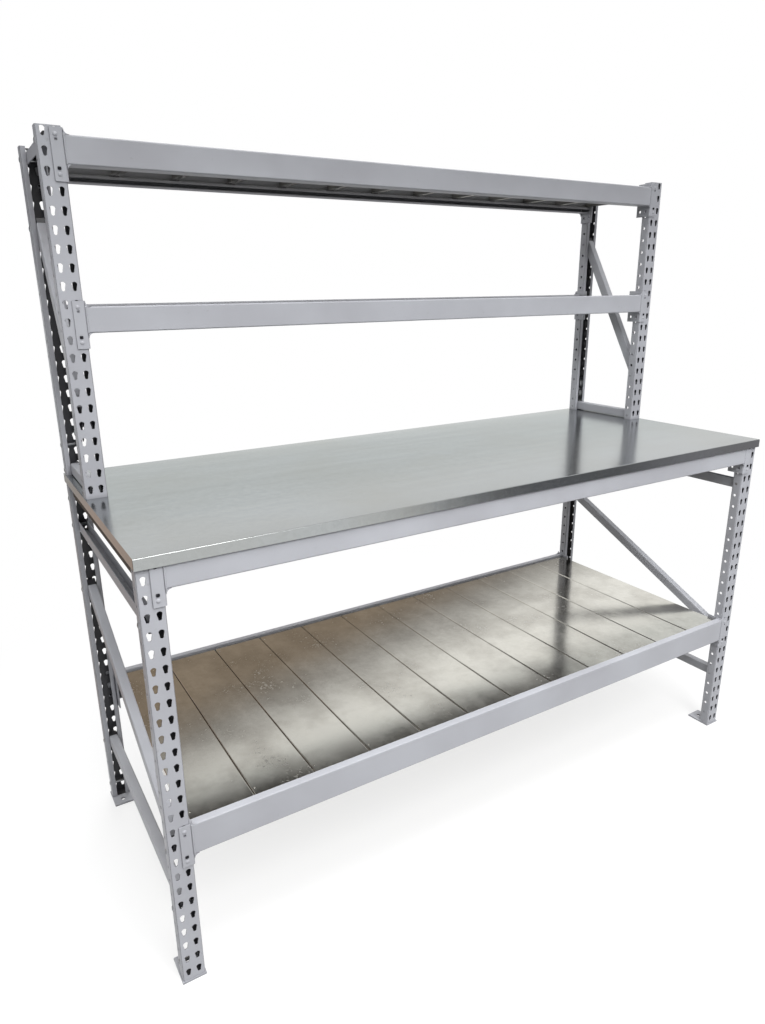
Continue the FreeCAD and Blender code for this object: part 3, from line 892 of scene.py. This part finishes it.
@dataclass(frozen=True)
class Lamp:
    """One soft lamp: place, point that it faces, width and height, power, and whether gloss shows it."""
    name: str
    place: Point
    aim: Point
    size: Span
    watts: float
    in_gloss: bool = False

    def hang(self) -> None:
        """Add the lamp to the scene, turned so that it shines from its place to its aim."""
        data = bpy.data.lights.new(self.name, "AREA")
        data.shape, data.energy = "RECTANGLE", self.watts
        data.size, data.size_y = self.size
        lamp = bpy.data.objects.new(self.name, data)
        lamp.visible_glossy = self.in_gloss
        facing = (Vector(self.aim) - Vector(self.place)).to_track_quat("-Z", "Y")
        lamp.matrix_world = Matrix.Translation(self.place) @ facing.to_matrix().to_4x4()
        bpy.context.scene.collection.objects.link(lamp)


@dataclass
class Studio:
    """White floor and background, soft lamps, cards for gloss, and the camera at the photograph's place."""
    camera_place: Point = (-1.2158, -1.6762, 1.4985)
    camera_right: Point = (0.8523, -0.5229, -0.0100)
    camera_forward: Point = (0.4966, 0.8152, -0.2979)
    camera_reach: float = 100.0
    lens_mm: float = 25.30
    film_mm: float = 36.0
    sky: Span = (0.22, 1.5)
    sky_rise: Span = (0.0, 0.9)
    sky_behind: float = 0.55
    sky_turn: Span = (-0.5, 0.6)
    floor_half: float = 30.0
    floor_colour: str = "#F2F2F2"
    floor_bounce: str = "#7C7C7C"
    floor_fade: Span = (0.7, 2.0)
    shadow_share: float = 0.4
    flag_foot: tuple[Span, Span] = ((-1.8, -0.6), (1.8, -0.6))
    flag_heights: Span = (2.18, 3.4)
    side_foot: tuple[Span, Span] = ((0.7, -3.3), (3.6, -0.6))
    side_heights: Span = (0.0, 3.0)
    side: str = "#6C6C6F"
    side_right: str = "#98969A"
    side_fade: Span = (0.95, 1.75)
    side_right_fade: Span = (2.15, 2.5)
    rear_foot: tuple[Span, Span] = ((-3.0, 0.62), (3.6, 0.62))
    rear_heights: Span = (0.0, 2.6)
    wall_glow: float = 1.25
    wall_low: str = "#8C7F70"
    wall_grey: str = "#8F8D8A"
    wall_left: str = "#A29186"
    wall: str = "#FAFAF8"
    wall_slope: float = 0.2
    grey_fade: Span = (0.58, 0.80)
    wall_fade: Span = (0.70, 1.08)
    left_fade: Span = (-0.95, -0.80)
    room_low: str = "#CED1D0"
    room: str = "#E7E7E7"
    room_from: Span = (1.06, 1.10)
    room_fade: Span = (1.22, 1.36)
    ceiling: str = "#7D7B7E"
    ceiling_fade: Span = (1.48, 1.62)
    lamps: tuple[Lamp, ...] = (
        Lamp("front_soft_lamp", (-0.3, -3.6, 4.2), (0.0, 0.0, 0.9), (2.6, 1.8), 160.0),
        Lamp("roof_soft_lamp", (-0.5, -1.6, 4.8), (0.0, -0.35, 0.8), (2.6, 1.0), 85.0, in_gloss=True),
        Lamp("rear_soft_lamp", (0.3, 3.9, 2.5), (0.0, 0.0, 0.9), (2.6, 1.4), 90.0))

    def camera(self) -> None:
        """Place the camera by its own axes: right, up and against the view."""
        data = bpy.data.cameras.new("photo_camera")
        data.lens, data.sensor_width, data.sensor_fit = self.lens_mm, self.film_mm, "AUTO"
        data.clip_end = self.camera_reach
        forward = Vector(self.camera_forward).normalized()
        right = Vector(self.camera_right)
        right = (right - forward * right.dot(forward)).normalized()
        turn = Matrix((right, right.cross(forward), -forward)).transposed()
        camera = bpy.data.objects.new("photo_camera", data)
        camera.matrix_world = Matrix.Translation(self.camera_place) @ turn.to_4x4()
        bpy.context.scene.collection.objects.link(camera)
        bpy.context.scene.camera = camera

    def seen(self, tree: Tree) -> Socket:
        """Mark the rays that show the studio itself.

        Args:
            tree: tree of the floor or the world.

        Returns:
            1 for rays of the camera, of gloss and of glass, and 0 for others.
        """
        path = add_node(tree, "ShaderNodeLightPath").outputs
        shown = path["Is Camera Ray"]
        for ray in ("Is Glossy Ray", "Is Transmission Ray"):
            shown = add_node(tree, "ShaderNodeMath", {0: shown, 1: path[ray]}, operation="MAXIMUM").outputs[0]
        return shown

    def background(self) -> None:
        """White for what camera, gloss and glass see, and a soft sky for the rest, dim low down and behind."""
        world = bpy.data.worlds.new("studio")
        world.use_nodes = True
        tree = world.node_tree
        tree.nodes.clear()
        way = add_node(tree, "ShaderNodeTexCoord").outputs["Generated"]
        axes = add_node(tree, "ShaderNodeSeparateXYZ", {0: way}).outputs
        rise = add_node(tree, "ShaderNodeMapRange", ramp(axes["Z"], self.sky_rise, self.sky),
                        interpolation_type="SMOOTHSTEP").outputs[0]
        back = add_node(tree, "ShaderNodeMapRange", ramp(axes["Y"], self.sky_turn, (1.0, self.sky_behind)),
                        interpolation_type="SMOOTHSTEP").outputs[0]
        strength = add_node(tree, "ShaderNodeMath", {0: rise, 1: back}, operation="MULTIPLY").outputs[0]
        dull = add_node(tree, "ShaderNodeBackground", {"Color": linear(WHITE), "Strength": strength})
        white = add_node(tree, "ShaderNodeBackground", {"Color": linear(WHITE), "Strength": 1.0})
        mixed = add_node(tree, "ShaderNodeMixShader",
                         {0: self.seen(tree), 1: dull.outputs[0], 2: white.outputs[0]})
        add_node(tree, "ShaderNodeOutputWorld", {"Surface": mixed.outputs[0]})
        bpy.context.scene.world = world

    def quad(self, name: str, corners: list[Point], material: Material) -> bpy.types.Object:
        """Add one flat four-sided object to the scene.

        Args:
            name: the object's name.
            corners: its four corners, in order.
            material: what it looks like.

        Returns:
            The new object.
        """
        mesh = bpy.data.meshes.new(name)
        mesh.from_pydata(corners, [], [(0, 1, 2, 3)])
        mesh.materials.append(material)
        quad = bpy.data.objects.new(name, mesh)
        bpy.context.scene.collection.objects.link(quad)
        return quad

    def floor(self) -> None:
        """Pale floor that keeps the bench's soft shadow and turns white away from it for the camera."""
        material, tree = new_material("studio_floor_paint")
        place = add_node(tree, "ShaderNodeTexCoord").outputs["Object"]
        far = add_node(tree, "ShaderNodeVectorMath", {0: place}, operation="LENGTH").outputs["Value"]
        fade = add_node(tree, "ShaderNodeMapRange", ramp(far, self.floor_fade, (1 - self.shadow_share, 1.0)),
                        interpolation_type="SMOOTHSTEP").outputs[0]
        seen = self.seen(tree)
        white = add_node(tree, "ShaderNodeMath", {0: fade, 1: seen}, operation="MULTIPLY").outputs[0]
        tone = add_node(tree, "ShaderNodeMix", blend(seen, self.floor_bounce, self.floor_colour),
                        data_type="RGBA").outputs[COLOUR_OUT]
        dull = add_node(tree, "ShaderNodeBsdfDiffuse", {"Color": tone})
        glow = add_node(tree, "ShaderNodeEmission", {"Color": linear(WHITE), "Strength": 1.0})
        mixed = add_node(tree, "ShaderNodeMixShader", {0: white, 1: dull.outputs[0], 2: glow.outputs[0]})
        add_node(tree, "ShaderNodeOutputMaterial", {"Surface": mixed.outputs[0]})
        half = self.floor_half
        corners = [(-half, -half, 0), (half, -half, 0), (half, half, 0), (-half, half, 0)]
        floor = self.quad("studio_floor", corners, material)

    def card(self, name: str, foot: tuple[Span, Span], heights: Span, material: Material,
             use: CardUse = CardUse.GLOSS) -> None:
        """Stand up one studio card, unseen by the camera.

        Args:
            name: the card's name.
            foot: X and Y of its two lower corners.
            heights: its lower and its upper edge.
            material: what the card looks like.
            use: which light it is there for.
        """
        (start, stop), (low, high) = foot, heights
        card = self.quad(name, [(*start, low), (*stop, low), (*stop, high), (*start, high)], material)
        card.visible_camera = card.visible_diffuse = card.visible_transmission = False
        card.visible_glossy, card.visible_shadow = use is CardUse.GLOSS, use is CardUse.LAMPS

    def flag(self) -> None:
        """Black flag high in front, which keeps part of the front lamps off the top level."""
        material, tree = new_material("black_flag")
        dull = add_node(tree, "ShaderNodeBsdfDiffuse", {"Color": linear(BLACK)})
        add_node(tree, "ShaderNodeOutputMaterial", {"Surface": dull.outputs[0]})
        self.card("top_flag", self.flag_foot, self.flag_heights, material, CardUse.LAMPS)

    def faded(self, tree: Tree, value: Socket, fade: Span, below: Socket | str,
              above: Socket | str) -> Socket:
        """Fade from one colour to another.

        Args:
            tree: the card's tree.
            value: what the fade follows.
            fade: where it starts and ends.
            below: colour before the start.
            above: colour after the end.

        Returns:
            The faded colour.
        """
        share = add_node(tree, "ShaderNodeMapRange", ramp(value, fade),
                         interpolation_type="SMOOTHSTEP").outputs[0]
        return add_node(tree, "ShaderNodeMix", blend(share, below, above),
                        data_type="RGBA").outputs[COLOUR_OUT]

    def side_card(self) -> None:
        """Dark card to the right of the camera, for the gloss of the bench's front: darkest in its middle."""
        material, tree = new_material("dark_card")
        place = add_node(tree, "ShaderNodeTexCoord").outputs["Object"]
        right = add_node(tree, "ShaderNodeSeparateXYZ", {0: place}).outputs["X"]
        near = self.faded(tree, right, self.side_fade, WHITE, self.side)
        colour = self.faded(tree, right, self.side_right_fade, near, self.side_right)
        glow = add_node(tree, "ShaderNodeEmission", {"Color": colour, "Strength": 1.0})
        add_node(tree, "ShaderNodeOutputMaterial", {"Surface": glow.outputs[0]})
        self.card("dark_side_card", self.side_foot, self.side_heights, material)

    def rear_card(self) -> None:
        """Card behind the bench for the gloss of the decks: a brown wall, a white room, and a dim ceiling.

        The shelf looks below the worktop's height and sees the wall, which grows lighter upwards and to the
        right. The worktop looks above it and sees the room.
        """
        material, tree = new_material("wall_card")
        place = add_node(tree, "ShaderNodeTexCoord").outputs["Object"]
        axes = add_node(tree, "ShaderNodeSeparateXYZ", {0: place}).outputs
        slant = add_node(tree, "ShaderNodeMath", {0: axes["X"], 1: self.wall_slope, 2: axes["Z"]},
                         operation="MULTIPLY_ADD").outputs[0]
        brown = self.faded(tree, axes["X"], self.left_fade, self.wall_left, self.wall_low)
        grey = self.faded(tree, slant, self.grey_fade, brown, self.wall_grey)
        wall = self.faded(tree, slant, self.wall_fade, grey, self.wall)
        room = self.faded(tree, axes["Z"], self.room_fade, self.room_low, self.room)
        lower = self.faded(tree, axes["Z"], self.room_from, wall, room)
        colour = self.faded(tree, axes["Z"], self.ceiling_fade, lower, self.ceiling)
        glow = add_node(tree, "ShaderNodeEmission", {"Color": colour, "Strength": self.wall_glow})
        add_node(tree, "ShaderNodeOutputMaterial", {"Surface": glow.outputs[0]})
        self.card("rear_wall_card", self.rear_foot, self.rear_heights, material)

    def build(self) -> None:
        """Set up the camera, background, floor, cards, lamps and plain colour handling."""
        for part in (self.camera, self.background, self.floor, self.side_card, self.flag, self.rear_card):
            part()
        for lamp in self.lamps:
            lamp.hang()
        bpy.context.scene.view_settings.view_transform = "Standard"


def main() -> None:
    """Build the finishes, the dressed sub-assemblies and the studio in order."""
    logging.basicConfig(level=logging.INFO, format="%(message)s")
    paint, zinc, black = FRAME_PAINT.build(), FASTENER_ZINC.build(), LOCK_STEEL.build()
    EndFrames().build(paint, zinc)
    BeamLevels().build(paint, black)
    Decks().build(WORKTOP_ZINC.build(), PLANK_ZINC.build(), CORE_BOARD.build())
    Studio().build()


if __name__ == "__main__":
    main()
